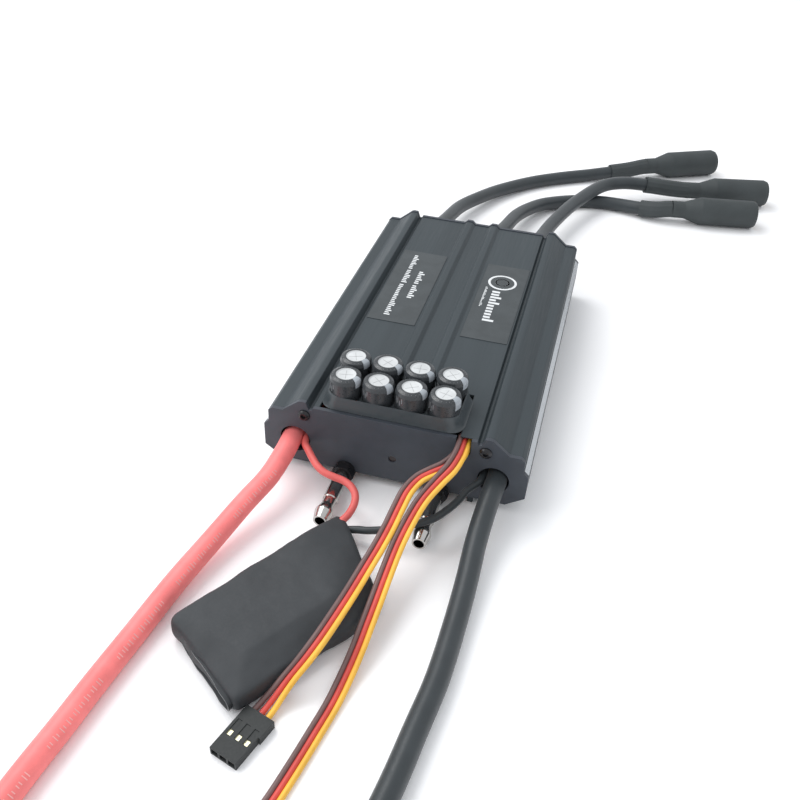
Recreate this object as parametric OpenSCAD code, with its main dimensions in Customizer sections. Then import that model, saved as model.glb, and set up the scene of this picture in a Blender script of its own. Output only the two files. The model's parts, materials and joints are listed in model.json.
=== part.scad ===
// Water-cooled brushless motor speed controller with its battery leads, motor leads,
// servo cables and a small filter pack on two thin wires.
// X runs across the housing, -Y towards the battery-lead end, +Z up. The origin lies on
// the surface that the feet stand on, under the middle of the housing.

/* [Housing] */
// Width over the lower shell
housing_w = 83.2; // [82.8:0.1:84.4]
// Length over both end plates
housing_l = 138; // [137:0.5:142]
// Thickness of an end plate
plate_t = 1.4; // [1:0.1:1.6]
// Height of the flat top above the surface
top_z = 25.4; // [25.2:0.1:25.8]
// Height of the two feet that run along the underside
foot_h = 3.3; // [3:0.1:3.5]

/* [Capacitors] */
// Diameter over a capacitor's sleeve
cap_d = 9.8; // [9.4:0.1:9.9]
// Distance between neighbouring capacitors across the housing
cap_pitch_x = 10.2; // [10:0.05:10.3]
// Distance between the two rows
cap_pitch_y = 9.9; // [9.9:0.05:10.2]
// Height of the capacitors' tops above the surface
cap_top_z = 35.7; // [33:0.1:38]

/* [Water cooling] */
// Outer diameter of the cooling tube
tube_d = 5.6; // [5:0.1:5.6]
// Distance between the two nozzles
nozzle_pitch = 30; // [28:0.5:32]
// Length of a nozzle in front of the end plate
nozzle_l = 24; // [22:0.5:26]
// Diameter of the barb that a hose is pushed over
barb_d = 5.6; // [5:0.1:5.8]

/* [Leads] */
// Diameter of a battery lead
battery_lead_d = 6.4; // [6:0.1:6.4]
// Diameter of a motor lead
motor_lead_d = 6.2; // [5.6:0.1:6.2]
// Diameter of the thin wires to the filter pack
thin_wire_d = 2.3; // [1.8:0.1:2.3]
// Diameter of one core of a servo cable
core_d = 1.5; // [1.3:0.05:1.5]
// Bore of a motor connector's socket
socket_d = 10; // [8:0.5:10]

/* [Hidden] */
$fn = 48;
cut = 1;
gap = 0.1;

// Housing
hw = housing_w / 2;
front_y = -housing_l / 2;
rear_y = housing_l / 2;
case_y0 = front_y + plate_t;
case_y1 = rear_y - plate_t;
roof_t = 1.5;
seam_z = 17;
lobe_x = 28.2;
lobe_z = 22.1;
boss_r = 2.6;
screw_r = 1.25;
screw_head_r = 1.9;
screw_head_h = 1;
screw_l = 10;
hex_key_r = 0.85;
rib_x = [2.8, 4.1, 6.1, 7.4];
rib_h = 1.2;
window_x = [-23.7, 20];
window_l = 22;
floor_z = 6.8;
plateau_z = 8;
plateau_x = 24.6;
foot_x = 25;
foot_t = 1.7;
rail_x = 37;
rear_rim = 0.3;

// Cables through the end plates
lead_hole_x = 31.4;
lead_hole_r = 4.8;
lead_x = 32.4;
thin_wire_x = 28;
lead_z = 12;
block_front_y = front_y + 18;
motor_hole_pitch = 22.5;
motor_hole_r = 3.7;
tab_rear_y = rear_y - 7;
led_r = 1.25;
led_z = 11.8;

// Servo cables, one above the other in the notch
cable_x = 21.3;
cable_w = 3 * core_d;
notch_x = [19, 23.6];
notch_z = 20;
notch_relief_l = 8;

// Power stage
pad_t = 0.5;
mosfet_size = [9.9, 11.7, 2.3];
mosfet_pitch = [12, 12.3];
mosfet_z = plateau_z + pad_t;
power_board_z = mosfet_z + mosfet_size.z;
board_t = 1.6;
power_board_t = 2;
power_board_y = [-41, 57];
power_board_w = 73;
bar_z = power_board_z + power_board_t;
bar_t = 2;
bar_x = [24, 30];
block_x = [27, 36.4];
block_z = [8.2, 15.8];
board_screw_pos = [for (x = [-33.5, 33.5]) for (y = [-34, 50]) [x, y]];

// Control board
control_z = 17.6;
control_top = control_z + board_t;
control_y = [-41, 25];
control_w = 48.4;
spacer_pos = [for (x = [-20, 20]) for (y = [-30, 20]) [x, y]];

// Capacitor bank
cap_cols = 4;
cap_x0 = -17;
cap_y0 = front_y + 6.55;
cap_h = 25;
cap_bottom_z = cap_top_z - cap_h;
sleeve_t = 0.15;
lip_r = 3.1;
wrap_t = 0.25;
wrap_z = [24.2, 30];
wrap_x = [-23.3, 19.7];
cap_pos = [for (r = [0, 1]) for (c = [0 : cap_cols - 1])
    [cap_x0 + c * cap_pitch_x, cap_y0 + r * cap_pitch_y]];

// Water cooling
tube_z = 3.8;
tube_bend_y = 45;
nozzle_bore_r = 1.6;
nozzle_r = 2.1;
nut_r = 3.7;
nut_t = 3.5;

// Motor connectors
shell_r = 5.8;
boot_r = 6.5;
boot_wall = 0.6;
neck_l = 40;
boot_tips = [[99, 225, 6.5], [118.4, 164, 6.5], [124.7, 192.3, 6.5]];
boot_headings = [29, 11, 15];
cable_end = 17;

// Filter pack
pack_pos = [-13.5, -130, 0];
pack_turn = -30.5;
pack_mouth_z = 4.6;
pack_wall = 0.6;
pack_board_z = 3.8;

// Servo connectors: wire end, heading of the socket end
plug_pos = [[-8, -155.8, 0], [-1.2, -190, 0]];
plug_turn = [-17, -13];
plug_l = 13.4;
plug_w = 7.8;
plug_h = 2.6;
plug_step_l = 5.4;
plug_step = 0.5;
pin_pitch = 2.54;

// Routes of the cables. Each is a list of points that the centre line passes through.
line_steps = 3;
positive_route = [[-lead_x, block_front_y, lead_z], [-lead_x, -60, lead_z], [-lead_x, -69, lead_z],
    [-32.4, -76, 11.6], [-33.6, -86, 10], [-37, -96.5, 7.9], [-40.9, -110.9, 5.4],
    [-44.3, -126, 4], [-46.8, -143, 3.2], [-48.8, -159.5, 3.2], [-50.2, -173, 3.2],
    [-51.8, -186.5, 3.2], [-52.8, -200, 3.2], [-52.4, -214, 3.2], [-50, -228, 3.2],
    [-45.5, -240, 3.2]];
negative_route = [[lead_x, block_front_y, lead_z], [lead_x, -60, lead_z], [lead_x, -69, lead_z],
    [31.7, -77, 10.9], [31, -90, 7.4], [31.2, -103, 5], [31.1, -118, 3.6], [30.5, -135, 3.2],
    [28.8, -150, 3.2], [27.2, -164, 3.2], [25, -178, 3.2], [22.3, -192, 3.2], [18.8, -206, 3.2],
    [14.3, -219, 3.2], [8.5, -231, 3.2], [1.5, -242, 3.2]];
motor_routes = [
    [[-motor_hole_pitch, tab_rear_y, lead_z], [-motor_hole_pitch, 69, lead_z], [-23.2, 80, 11.4],
     [-23.2, 91, 10], [-22, 103, 8.5], [-19.3, 122, 6.6], [-13, 139, 5], [-5, 154.2, 3.8],
     [7.8, 170.2, 3.1], [21.6, 181.5, 3.1], [36, 190.8, 3.3], [46.5, 196, 4.3],
     [55.5, 200.2, 5.4]],
    [[0, tab_rear_y, lead_z], [0, 69, lead_z], [1.2, 80, 11.4], [3, 91, 10], [5.2, 103.5, 8.5],
     [7.7, 120.5, 6.8], [12.3, 135, 5], [19, 146, 3.8], [31.5, 155.4, 3.1], [44.5, 159, 3.2],
     [54.5, 158.8, 3.5], [64.5, 156.8, 4.3], [71.5, 155.6, 5.2]],
    [[motor_hole_pitch, tab_rear_y, lead_z], [motor_hole_pitch, 69, lead_z], [22, 80, 11.6],
     [22.2, 91, 10.6], [23.4, 102, 9.6], [26.4, 117.5, 9.2], [32.8, 139.2, 9.2], [43, 161.6, 9.7],
     [53, 171, 9.7], [65, 176, 8.6], [77, 179.4, 7.2]]];
thin_positive_route = [[-thin_wire_x, block_front_y, lead_z], [-thin_wire_x, -60, lead_z],
    [-thin_wire_x, -69, lead_z], [-25.5, -73, 11.8], [-21.6, -77.3, 11], [-18.4, -79.2, 10.3],
    [-15, -79.8, 9.8], [-12, -80, 9.3], [-9.2, -81.2, 8.8], [-7.2, -83.5, 8.2],
    [-6.5, -86.5, 7.3], [-7.1, -90, 6.2], [-8.8, -93.4, 5.3], [-10.4, -98.1, 4.9],
    [-11.5, -103.3, 4.7], [-12, -108.3, 4.7]];
thin_negative_route = [[thin_wire_x, block_front_y, lead_z], [thin_wire_x, -60, lead_z],
    [thin_wire_x, -69, lead_z], [26.8, -71.5, 11.5], [24.6, -74, 10.5], [23, -77.5, 9.3],
    [20.3, -82.4, 8.7], [16.8, -86.6, 8], [11, -89.8, 6.9], [5, -92.2, 5.8], [0, -93.4, 5],
    [-3.6, -93.6, 4.4], [-6.8, -94.6, 3.9], [-8.1, -99.2, 4.5], [-9, -104.2, 4.7],
    [-9.5, -109.8, 4.7]];
servo_1_route = [[cable_x, -42, 20.8], [cable_x, -56, 20.9], [cable_x, -69, 21.8],
    [20.3, -73, 21.3], [17.8, -76.8, 20.6], [14.3, -79.7, 19.8], [11.4, -82.6, 18.9],
    [9.3, -87.2, 17.6], [8.3, -92.8, 15.9], [7.5, -98.5, 14.2], [6.3, -105, 12.4],
    [4.9, -112, 11.1], [3.6, -120, 10.5], [2.4, -127.5, 10.5], [0.7, -136.5, 10.3],
    [-1.4, -142.6, 8.6], [-3.8, -146.6, 5.8], [-5.6, -149.8, 3.4], [-6.9, -152.6, 1.9],
    [-8, -155.8, 1.4]];
servo_2_route = [[cable_x, -42, 22.5], [cable_x, -56, 22.6], [cable_x, -69, 23.5],
    [21, -73.6, 23], [19.8, -78.2, 21.7], [17.4, -82.6, 19.9], [14.3, -88.6, 17.2],
    [12.5, -95, 15], [11.1, -103, 12.5], [10.4, -112.5, 10], [10.1, -120, 8.4],
    [9.7, -126.5, 6.6], [9.2, -133, 4.4], [8.4, -140, 2.3], [7.4, -148, 1.1], [6, -156, 0.9],
    [4.4, -165, 0.9], [2.6, -174, 0.9], [0.6, -182.5, 1.1], [-1.2, -190, 1.3]];

module along_y(y0, y1) {
    translate([0, y1, 0]) rotate([90, 0, 0]) linear_extrude(y1 - y0) children();
}

module rod_y(x, y0, y1, z, r) {
    translate([x, y0, z]) rotate([-90, 0, 0]) cylinder(h = y1 - y0, r = r);
}

module block(x, y, z) {
    translate([x[0], y[0], z[0]]) cube([x[1] - x[0], y[1] - y[0], z[1] - z[0]]);
}

module rounded_rect(size, r) {
    square([size.x - 2 * r, size.y], center = true);
    square([size.x, size.y - 2 * r], center = true);
    for (x = [-1, 1]) for (y = [-1, 1]) {
        translate([x * (size.x / 2 - r), y * (size.y / 2 - r)]) circle(r = r);
    }
}

// Both halves of an outline that is given for positive x
function both_sides(half) =
    concat(half, [for (i = [len(half) - 1 : -1 : 0]) [-half[i].x, half[i].y]]);

// The housing's outer edge, from beside the centre line of the top down to the underside
function top_edge(ribs) = concat(
    ribs ? [[rib_x[0], top_z], [rib_x[1], top_z + rib_h], [rib_x[2], top_z + rib_h],
            [rib_x[3], top_z]] : [],
    [[25.4, top_z], [25.9, top_z - 1.1], [26.7, top_z - 1.1], [27.6, top_z + 1.5],
     [29.2, top_z + 1.6], [30.2, top_z + 1.3], [35.3, 22.4], [hw - 2.8, 22.4],
     [hw - 1.6, 21.2], [hw - 1.6, seam_z]]);
bottom_edge = [[hw - 1.4, seam_z], [hw, 15.6], [hw, 7.3], [hw - 5.7, foot_h]];
roof_underside = [[hw - 3.6, seam_z], [hw - 3.6, 20.6], [34.3, 20.8], [31, 23.6],
    [25, top_z - roof_t]];

module plate_outline(rim, ribs) {
    polygon(both_sides(concat([for (p = top_edge(ribs)) [p.x, p.y > seam_z ? p.y + rim : p.y]],
        bottom_edge)));
}

module upper_shell() {
    tongue = [[hw - 2.2, seam_z], [hw - 2.2, 14.6], [hw - 3.2, 14.6], [hw - 3.2, seam_z]];
    color("#23282b") difference() {
        union() {
            along_y(case_y0, case_y1) polygon(both_sides(concat(top_edge(true), tongue,
                roof_underside)));
            for (x = [-lobe_x, lobe_x]) rod_y(x, case_y0, case_y1, lobe_z, boss_r);
        }
        for (x = [-lobe_x, lobe_x]) rod_y(x, case_y0 - cut, case_y1 + cut, lobe_z, screw_r);
        block(window_x, [case_y0 - cut, front_y + window_l], [seam_z, top_z + 2 * rib_h]);
        block(notch_x, [case_y0 - cut, case_y0 + notch_relief_l], [seam_z, top_z - 0.5]);
    }
}

module lower_shell() {
    profile = [[foot_x - foot_t / 2, foot_h], [foot_x - foot_t / 2, 0], [foot_x + foot_t / 2, 0],
        [foot_x + foot_t / 2, foot_h], [hw - 5.7, foot_h], [hw, 7.3], [hw, 15.6],
        [hw - 1.4, seam_z], [hw - 2, seam_z], [hw - 2, 14.4], [hw - 3.4, 14.4],
        [hw - 3.4, seam_z], [rail_x, seam_z], [rail_x, 12], [hw - 2.6, 10.5], [hw - 2.6, 8.2],
        [hw - 4, floor_z], [plateau_x, floor_z], [plateau_x, plateau_z]];
    color("#23282b") difference() {
        union() {
            along_y(case_y0, case_y1) polygon(both_sides(profile));
            for (p = board_screw_pos) {
                translate([p.x, p.y, floor_z - gap]) cylinder(h = power_board_z - floor_z + gap, r = 3);
            }
        }
        cooling_path(tube_d / 2 + gap);
        for (p = board_screw_pos) {
            translate([p.x, p.y, foot_h + 1.2]) cylinder(h = power_board_z, r = 1.3);
        }
    }
}

// The U-shaped way of the water: in at one nozzle, round the rear and out at the other
module cooling_path(r) {
    for (x = [-nozzle_pitch / 2, nozzle_pitch / 2]) rod_y(x, front_y, tube_bend_y, tube_z, r);
    translate([0, tube_bend_y, tube_z]) rotate_extrude(angle = 180) {
        translate([nozzle_pitch / 2, 0]) circle(r = r);
    }
}

module front_plate() {
    color("#2b2f33") difference() {
        along_y(front_y, case_y0) plate_outline(0, false);
        for (x = [-lobe_x, lobe_x]) rod_y(x, front_y - cut, case_y0 + cut, lobe_z, screw_r + gap);
        for (x = [-lead_hole_x, lead_hole_x]) {
            rod_y(x, front_y - cut, case_y0 + cut, lead_z, lead_hole_r);
        }
        for (x = [-1, 1]) {
            rod_y(x * nozzle_pitch / 2, front_y - cut, case_y0 + cut, tube_z, tube_d / 2 + gap);
        }
        rod_y(0, front_y - cut, case_y0 + cut, led_z, led_r);
        block(notch_x, [front_y - cut, case_y0 + cut], [notch_z, top_z + cut]);
    }
}

module rear_plate() {
    color("#2b2f33") difference() {
        along_y(case_y1, rear_y) plate_outline(rear_rim, true);
        for (x = [-lobe_x, lobe_x]) rod_y(x, case_y1 - cut, rear_y + cut, lobe_z, screw_r + gap);
        for (i = [-1 : 1]) {
            rod_y(i * motor_hole_pitch, case_y1 - cut, rear_y + cut, lead_z, motor_hole_r);
        }
    }
}

// Button-head screws with a hexagon socket, heads on the plate's outer face
module plate_screws(face_y, out) {
    color("#1a1a1c") for (x = [-lobe_x, lobe_x]) {
        translate([x, face_y, lobe_z]) rotate([-90 * out, 0, 0]) difference() {
            union() {
                rotate_extrude() polygon([[0, 0], [screw_head_r, 0], [screw_head_r, 0.4],
                    [screw_head_r - 0.4, 0.8], [1.1, screw_head_h], [0, screw_head_h]]);
                translate([0, 0, -screw_l]) cylinder(h = screw_l + gap, r = screw_r - 0.05);
            }
            translate([0, 0, 0.4]) cylinder(h = screw_head_h, r = hex_key_r, $fn = 6);
        }
    }
}

module front_plate_screws() { plate_screws(front_y, -1); }

module rear_plate_screws() { plate_screws(rear_y, 1); }

module left_label() {
    color("#1b1d1f") block([-24.8, -7.7], [-15, 37], [top_z, top_z + 0.2]);
}

module right_label() {
    color("#1b1d1f") block([8.6, 24.8], [-16, 37], [top_z, top_z + 0.2]);
}

module cooling_tube() {
    color("#b87333") difference() {
        cooling_path(tube_d / 2);
        for (x = [-nozzle_pitch / 2, nozzle_pitch / 2]) {
            rod_y(x, front_y - cut, tube_bend_y, tube_z, 1.9);
            rod_y(x, front_y - cut, front_y + 9, tube_z, 2.2);
        }
        translate([0, tube_bend_y, tube_z]) rotate_extrude(angle = 180) {
            translate([nozzle_pitch / 2, 0]) circle(r = 1.9);
        }
    }
}

// Hose nozzle on the Y axis: screwed shank, neck with a collar, barb with a tapered mouth
module nozzle(x) {
    barb_r = barb_d / 2;
    color("silver") translate([x, front_y, tube_z]) rotate([90, 0, 0]) difference() {
        rotate_extrude() polygon([[0, -8], [nozzle_r, -8], [nozzle_r, nut_t + 0.3],
            [nozzle_r + 0.2, nut_t + 0.5], [nozzle_r + 0.2, nozzle_l - 9.4],
            [nozzle_r - 0.1, nozzle_l - 9.1], [nozzle_r - 0.1, nozzle_l - 6.6],
            [barb_r, nozzle_l - 4], [barb_r, nozzle_l - 3.4], [nozzle_r, nozzle_l],
            [0, nozzle_l]]);
        translate([0, 0, -8 - cut]) cylinder(h = nozzle_l + 8 + 2 * cut, r = nozzle_bore_r);
    }
}

module left_nozzle() { nozzle(-nozzle_pitch / 2); }

module right_nozzle() { nozzle(nozzle_pitch / 2); }

module nozzle_nuts() {
    color("#202124") for (x = [-nozzle_pitch / 2, nozzle_pitch / 2]) {
        translate([x, front_y, tube_z]) rotate([90, 0, 0]) difference() {
            union() {
                cylinder(h = 0.6, r = 3.3);
                translate([0, 0, 0.6]) cylinder(h = nut_t - 0.6, r = nut_r, $fn = 6);
            }
            translate([0, 0, -cut]) cylinder(h = nut_t + 2 * cut, r = nozzle_r + 0.05);
        }
    }
}

module thermal_pad() {
    color("#8fa3b0") block([-plateau_x + 0.4, plateau_x - 0.4], power_board_y, [plateau_z, mosfet_z]);
}

// Four rows of power transistors between the thermal pad and the power board
module mosfets() {
    color("#202020") for (col = [0 : 3]) for (row = [0 : 7]) {
        translate([(col - 1.5) * mosfet_pitch.x, 8 + (row - 3.5) * mosfet_pitch.y,
            mosfet_z + mosfet_size.z / 2]) cube(mosfet_size, center = true);
    }
}

module power_board() {
    color("#14532d") difference() {
        block([-power_board_w / 2, power_board_w / 2], power_board_y, [power_board_z, bar_z]);
        for (p = board_screw_pos) {
            translate([p.x, p.y, power_board_z - cut]) cylinder(h = power_board_t + 2 * cut, r = 1.6);
        }
    }
}

module board_screws() {
    color("silver") for (p = board_screw_pos) translate([p.x, p.y, 0]) {
        translate([0, 0, foot_h + 2]) cylinder(h = bar_z - foot_h - 2 + gap, r = 1.25);
        translate([0, 0, bar_z]) difference() {
            cylinder(h = 2, r = 2.6);
            translate([0, 0, 1]) cylinder(h = 2, r = 1.2, $fn = 6);
        }
    }
}

// A copper bar along one side of the power board, with the block that a lead is soldered to
module bus_bar(side) {
    color("#b87333") mirror([side < 0 ? 1 : 0, 0, 0]) {
        block(block_x, [block_front_y, block_front_y + 6], block_z);
        block(bar_x, [block_front_y + 2, 50], [bar_z, bar_z + bar_t]);
    }
}

module positive_bus_bar() { bus_bar(-1); }

module negative_bus_bar() { bus_bar(1); }

module phase_tabs() {
    color("#b87333") for (i = [-1 : 1]) translate([i * motor_hole_pitch, 0, 0]) {
        block([-4.5, 4.5], [power_board_y[1] + 0.3, tab_rear_y], block_z);
        block([-4.5, 4.5], [power_board_y[1] - 6, power_board_y[1] + 1], [bar_z, bar_z + bar_t]);
    }
}

module board_spacers() {
    color("white") for (p = spacer_pos) translate([p.x, p.y, bar_z]) {
        cylinder(h = control_z - bar_z, r = 2.2, $fn = 6);
    }
}

module control_board() {
    color("#14532d") block([-control_w / 2, control_w / 2], control_y, [control_z, control_top]);
}

module board_header() {
    color("#202020") block([-12, 12], [-20, -17.5], [bar_z, control_z]);
}

module microcontroller() {
    color("#101010") block([-4, 4], [0, 8], [control_top, control_top + 1.2]);
}

module gate_drivers() {
    color("#101010") for (x = [-14, 10]) for (y = [-12, 1, 14]) {
        block([x, x + 4], [y, y + 5], [control_top, control_top + 1.5]);
    }
}

module regulator_coil() {
    color("#3a3a3a") block([-16, -8], [-34, -26], [control_top, control_top + 4]);
}

module status_led() {
    color("#3a1212") rod_y(0, front_y + 0.5, case_y0 + 0.4, led_z, led_r);
}

module servo_terminal() {
    color("#202020") block([cable_x - 2.7, cable_x + 2.5], [-42, -38], [control_top, 23.8]);
}

// The board that joins the capacitors, with ears that reach both terminal blocks
module capacitor_board() {
    ears = [block_front_y, front_y + 24];
    color("#14532d") difference() {
        union() {
            block([-23.5, 20], [front_y + 2, front_y + 24], [cap_bottom_z - board_t, cap_bottom_z]);
            block([-block_x[0], block_x[0]], ears, [cap_bottom_z - board_t, cap_bottom_z]);
        }
        for (p = cap_pos) for (x = [-2.5, 2.5]) {
            translate([p.x + x, p.y, 0]) cylinder(h = cap_bottom_z + cut, r = 0.5);
        }
    }
}

// Aluminium can with its pressed groove, vent top and two pins
module capacitor(i) {
    r = cap_d / 2 - sleeve_t;
    color("#d8dadb") translate([cap_pos[i].x, cap_pos[i].y, cap_bottom_z]) {
        rotate_extrude() polygon([[0, 0], [r - 0.3, 0], [r, 0.3], [r, 2], [r - 0.5, 2.5],
            [r, 3], [r, cap_h - 1.4], [r - 0.4, cap_h - 0.4], [r - 1.3, cap_h], [2.9, cap_h],
            [2.7, cap_h - 0.2], [0, cap_h - 0.2]]);
        for (x = [-2.5, 2.5]) translate([x, 0, -2]) cylinder(h = 2, r = 0.35);
    }
}

module capacitor_1() { capacitor(0); }
module capacitor_2() { capacitor(1); }
module capacitor_3() { capacitor(2); }
module capacitor_4() { capacitor(3); }
module capacitor_5() { capacitor(4); }
module capacitor_6() { capacitor(5); }
module capacitor_7() { capacitor(6); }
module capacitor_8() { capacitor(7); }

// Shrunk sleeves, each with a lip over the edge of its can
module capacitor_sleeves() {
    r = cap_d / 2;
    color("#15171a") for (p = cap_pos) translate([p.x, p.y, cap_bottom_z]) {
        rotate_extrude() polygon([[r - sleeve_t, 0.4], [r, 0.4], [r, cap_h - 1.4],
            [r - 0.4, cap_h - 0.3], [r - 1.3, cap_h + sleeve_t], [lip_r, cap_h + sleeve_t],
            [lip_r, cap_h], [r - sleeve_t - 1.3, cap_h], [r - sleeve_t - 0.4, cap_h - 0.4],
            [r - sleeve_t, cap_h - 1.4]]);
    }
}

// Black band shrunk round all eight capacitors
module capacitor_wrap() {
    size = [wrap_x[1] - wrap_x[0], cap_pitch_y + cap_d + 2 * wrap_t];
    centre = [(wrap_x[0] + wrap_x[1]) / 2, cap_y0 + cap_pitch_y / 2];
    color("#101214") translate([centre.x, centre.y, wrap_z[0]]) {
        linear_extrude(wrap_z[1] - wrap_z[0]) difference() {
            rounded_rect(size, cap_d / 2 + wrap_t);
            rounded_rect(size - 2 * [wrap_t, wrap_t], cap_d / 2);
        }
    }
}

function unit(v) = v / norm(v);

// A smooth line through the points of a route
function between(a, b, c, d, t) = 0.5 * (2 * b + (c - a) * t
    + (2 * a - 5 * b + 4 * c - d) * t * t + (3 * b - a - 3 * c + d) * t * t * t);
function smooth(p, steps) = concat(
    [for (i = [0 : len(p) - 2]) for (k = [0 : steps - 1])
        between(p[max(i - 1, 0)], p[i], p[i + 1], p[min(i + 2, len(p) - 1)], k / steps)],
    [p[len(p) - 1]]);
function heading_at(line, i) = unit(line[min(i + 1, len(line) - 1)] - line[max(i - 1, 0)]);
function side_at(t) = unit(cross(t, [0, 0, 1]));
function ring_at(line, i, section) =
    let (t = heading_at(line, i), s = side_at(t), u = cross(s, t))
    [for (q = section) line[i] + s * q.x + u * q.y];

// A section swept along a line, the same way up all along
module sweep(line, section) {
    n = len(section);
    rings = len(line);
    points = [for (i = [0 : rings - 1]) each ring_at(line, i, section)];
    sides = [for (i = [0 : rings - 2]) for (j = [0 : n - 1])
        [i * n + j, i * n + (j + 1) % n, (i + 1) * n + (j + 1) % n, (i + 1) * n + j]];
    ends = [[for (j = [n - 1 : -1 : 0]) j], [for (j = [0 : n - 1]) (rings - 1) * n + j]];
    polyhedron(points, concat(sides, ends), convexity = 6);
}

module cable(route, section) { sweep(smooth(route, line_steps), section); }

function round_section(d, n) = [for (j = [0 : n - 1])
    d / 2 * [cos(360 * (j + 0.5) / n), sin(360 * (j + 0.5) / n)]];
flat_section = let (w = cable_w / 2, h = core_d / 2)
    [[w, -h / 2], [w, h / 2], [w - h, h], [h - w, h], [-w, h / 2], [-w, -h / 2], [h - w, -h], [w - h, -h]];

module positive_lead() { color("#d24a4a") cable(positive_route, round_section(battery_lead_d, 12)); }

module negative_lead() { color("#1e2022") cable(negative_route, round_section(battery_lead_d, 12)); }

// Tinned strands on the free end of each battery lead
module lead_tips() {
    color("silver") for (route = [positive_route, negative_route]) {
        last = len(route) - 1;
        way = route[last] - route[last - 1];
        translate(route[last]) rotate([0, 90, atan2(way.y, way.x)]) cylinder(h = 9, r = 2.3);
    }
}

function tip_way(i) = [cos(boot_headings[i]), sin(boot_headings[i]), 0];
function motor_route(i) =
    concat(motor_routes[i], [for (d = [neck_l, 29, cable_end]) boot_tips[i] - d * tip_way(i)]);

module motor_lead(i) { color("#1e2022") cable(motor_route(i), round_section(motor_lead_d, 12)); }

module motor_lead_1() { motor_lead(0); }
module motor_lead_2() { motor_lead(1); }
module motor_lead_3() { motor_lead(2); }

module on_tip(i) {
    translate(boot_tips[i]) rotate([0, 90, boot_headings[i]]) rotate_extrude() children();
}

// Female bullet connector: a socket in front, a cup for the cable behind
module motor_connector(i) {
    cup_r = motor_lead_d / 2 + 0.1;
    color("#c9a227") on_tip(i) polygon([[0, -15], [socket_d / 2, -15], [socket_d / 2, -0.8],
        [shell_r, -0.8], [shell_r, -25], [cup_r, -25], [cup_r, -cable_end], [0, -cable_end]]);
}

module motor_connector_1() { motor_connector(0); }
module motor_connector_2() { motor_connector(1); }
module motor_connector_3() { motor_connector(2); }

// Shrunk boot over a connector, with a narrow sleeve that follows the end of its lead
module motor_boot(i) {
    neck_r = motor_lead_d / 2 + 0.3;
    line = smooth(motor_route(i), line_steps);
    neck = len(line) - 1 - 2 * line_steps;
    color("#17191b") {
        on_tip(i) polygon([[neck_r, -neck_l], [neck_r + boot_wall, -neck_l],
            [neck_r + boot_wall, -34], [boot_r, -26.5], [boot_r, -1.5], [boot_r - 0.6, 0],
            [socket_d / 2 + 0.5, 0], [socket_d / 2 + 0.5, -0.6], [shell_r + 0.05, -0.75],
            [shell_r + 0.05, -25.5], [neck_r, -33]]);
        difference() {
            sweep([for (k = [-2 * line_steps : 0]) line[neck + k]],
                round_section(2 * (neck_r + boot_wall), 12));
            sweep([for (k = [-2 * line_steps - 1 : 1]) line[neck + k]],
                round_section(2 * neck_r, 12));
        }
    }
}

module motor_boot_1() { motor_boot(0); }
module motor_boot_2() { motor_boot(1); }
module motor_boot_3() { motor_boot(2); }

module thin_positive_wire() {
    color("#d24a4a") cable(thin_positive_route, round_section(thin_wire_d, 8));
}

module thin_negative_wire() {
    color("#1e2022") cable(thin_negative_route, round_section(thin_wire_d, 8));
}

module in_pack() { translate(pack_pos) rotate([0, 0, pack_turn]) children(); }

// The pack's soft form, drawn in by an inset: balls at its corners and at the wires' mouth,
// each with its centre and radius
pack_balls = [[[-12.6, -17.6, 4.6], 4.5], [[10.6, -20, 4], 3.9], [[11.8, 13, 4.3], 4.2],
    [[9, 21.2, 4.3], 4.2], [[-12.4, 20, 4.6], 4.5], [[-15, 33.4, 4.4], 2.1],
    [[-13.9, 33.4, 4.8], 2.1]];
module pack_form(inset) {
    hull() for (b = pack_balls) translate(b[0]) sphere(r = b[1] - inset, $fn = 32);
}

module pack_sleeve() {
    color("#202326") in_pack() difference() {
        pack_form(0);
        pack_form(pack_wall);
        translate([-14.2, 30, pack_mouth_z]) rotate([-90, 0, 0]) {
            linear_extrude(8) rounded_rect([4.6, 2.6], 1.29);
        }
        block([-10, 8], [-26, -19], [pack_mouth_z - 1, pack_mouth_z + 0.2]);
    }
}

module pack_board() {
    color("#14532d") in_pack() {
        block([-11.5, 11.5], [-18, 20.5], [pack_board_z, pack_board_z + board_t]);
    }
}

module pack_capacitors() {
    base = pack_board_z + board_t;
    color("#6b5b2a") in_pack() for (x = [-9.5, -2.5, 4.5]) for (y = [-16.5, -4, 8.5]) {
        block([x, x + 5.5], [y, y + 10.5], [base, base + 1.9]);
    }
}

module servo_cable_1() { color("#c2703a") cable(servo_1_route, flat_section); }

module servo_cable_2() { color("#c2703a") cable(servo_2_route, flat_section); }

module on_plug(i) { translate(plug_pos[i]) rotate([0, 0, plug_turn[i]]) children(); }

// Three-way female servo connector: its wire end at the origin, its sockets at -Y
module servo_connector(i) {
    color("#1c1d1f") on_plug(i) difference() {
        union() {
            block([-plug_w / 2, plug_w / 2], [-plug_l, 0], [0, plug_h]);
            block([plug_w / 2 - gap, plug_w / 2 + plug_step], [-plug_step_l, 0], [0, plug_h]);
        }
        for (k = [-1 : 1]) {
            block(k * pin_pitch * [1, 1] + [-0.95, 0.95], [-plug_l - cut, -0.8], [0.5, 2.2]);
            block(k * pin_pitch * [1, 1] + [-0.65, 0.65], [-8.6, -7], [1, plug_h + cut]);
            block(k * pin_pitch * [1, 1] + [-0.65, 0.65], [-7, -4], [plug_h - 0.25, plug_h + cut]);
        }
    }
}

module servo_connector_1() { servo_connector(0); }

module servo_connector_2() { servo_connector(1); }

module servo_contacts() {
    color("gold") for (i = [0, 1]) on_plug(i) for (k = [-1 : 1]) {
        block(k * pin_pitch * [1, 1] + [-0.85, 0.85], [-11.5, -1], [0.5, 2.1]);
    }
}

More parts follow.
